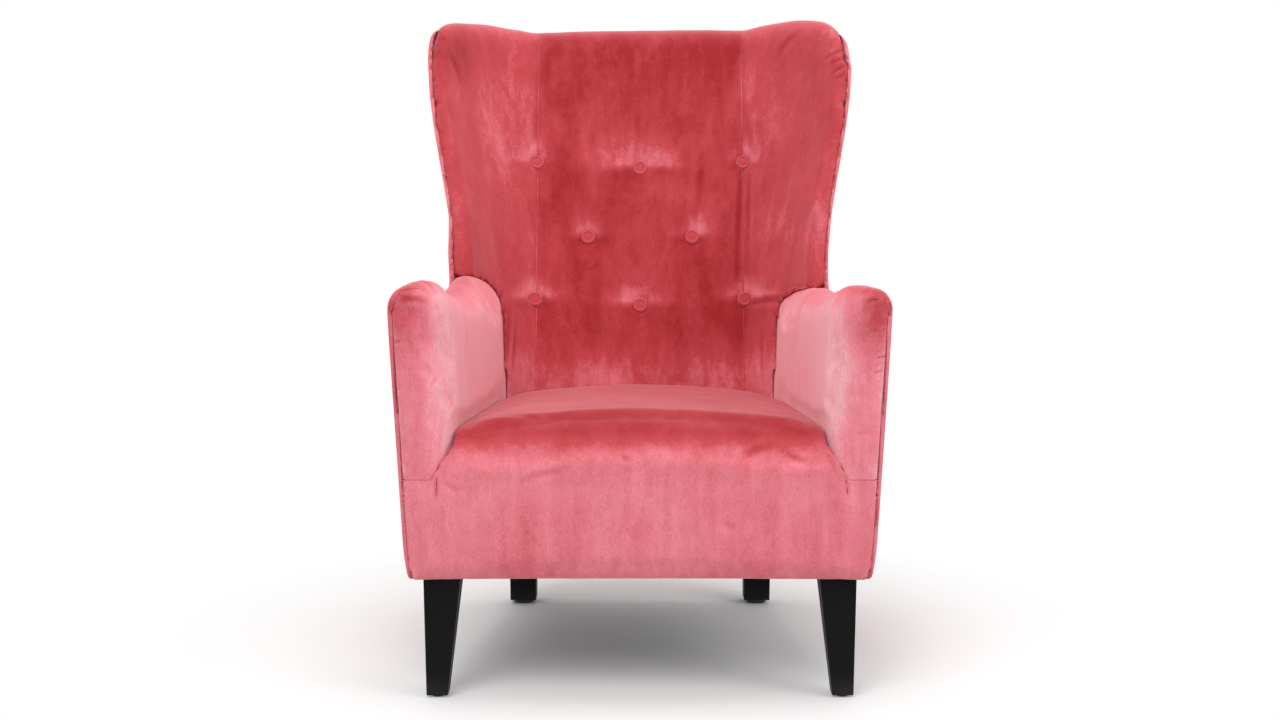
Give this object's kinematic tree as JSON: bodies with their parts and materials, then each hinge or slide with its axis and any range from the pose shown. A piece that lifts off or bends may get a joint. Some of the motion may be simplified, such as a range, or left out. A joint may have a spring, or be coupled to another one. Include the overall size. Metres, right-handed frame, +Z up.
{
  "type": "wing armchair",
  "caption": "Wing armchair in rose velvet with a flared, button-tufted inside back, rolled arms, tight crowned seat and black tapered legs.",
  "frame": {"origin": "on the floor, below the middle of the chair's bounding box", "axes": "+Z up, -Y towards the front of the chair, +X towards the viewer's right, seen from the front"},
  "size_m": [0.7764, 0.82, 1.103],
  "materials": {
    "velvet": "brushed rose velvet with a soft sheen and a directional nap",
    "button_velvet": "the same velvet drawn tight over button shells",
    "dust_cloth": "thin non-woven black cloth",
    "timber": "planed beech, unfinished",
    "spring_steel": "bare sinuous spring wire",
    "zinc_steel": "zinc-plated steel",
    "black_lacquer": "black satin lacquer on wood",
    "black_plastic": "moulded black plastic"
  },
  "bodies": {
    "root": {"seat_cushion": "velvet", "front_border": "velvet", "inside_back": "velvet", "wing_pad_right": "velvet", "wing_pad_left": "velvet", "arm_pad_right": "velvet", "arm_pad_left": "velvet", "outside_panel_right": "velvet", "outside_panel_left": "velvet", "outside_back": "velvet", "dust_cover": "dust_cloth", "button_1": "button_velvet", "button_2": "button_velvet", "button_3": "button_velvet", "button_4": "button_velvet", "button_5": "button_velvet", "button_6": "button_velvet", "button_7": "button_velvet", "button_8": "button_velvet", "front_rail": "timber", "rear_rail": "timber", "side_rail_right": "timber", "side_rail_left": "timber", "corner_block_front_right": "timber", "corner_block_front_left": "timber", "corner_block_rear_right": "timber", "corner_block_rear_left": "timber", "front_post_right": "timber", "front_post_left": "timber", "arm_rail_right": "timber", "arm_rail_left": "timber", "back_post_right": "timber", "back_post_left": "timber", "lower_back_rail": "timber", "middle_back_rail": "timber", "top_rail": "timber", "wing_frame_right": "timber", "wing_frame_left": "timber", "seat_spring_1": "spring_steel", "seat_spring_2": "spring_steel", "seat_spring_3": "spring_steel", "seat_spring_4": "spring_steel", "seat_spring_5": "spring_steel", "leg_front_left": "black_lacquer", "glide_front_left": "black_plastic", "hanger_bolt_front_left": "zinc_steel", "leg_plate_front_left": "zinc_steel", "leg_front_right": "black_lacquer", "glide_front_right": "black_plastic", "hanger_bolt_front_right": "zinc_steel", "leg_plate_front_right": "zinc_steel", "leg_rear_left": "black_lacquer", "glide_rear_left": "black_plastic", "hanger_bolt_rear_left": "zinc_steel", "leg_plate_rear_left": "zinc_steel", "leg_rear_right": "black_lacquer", "glide_rear_right": "black_plastic", "hanger_bolt_rear_right": "zinc_steel", "leg_plate_rear_right": "zinc_steel"}
  },
  "joints": []
}
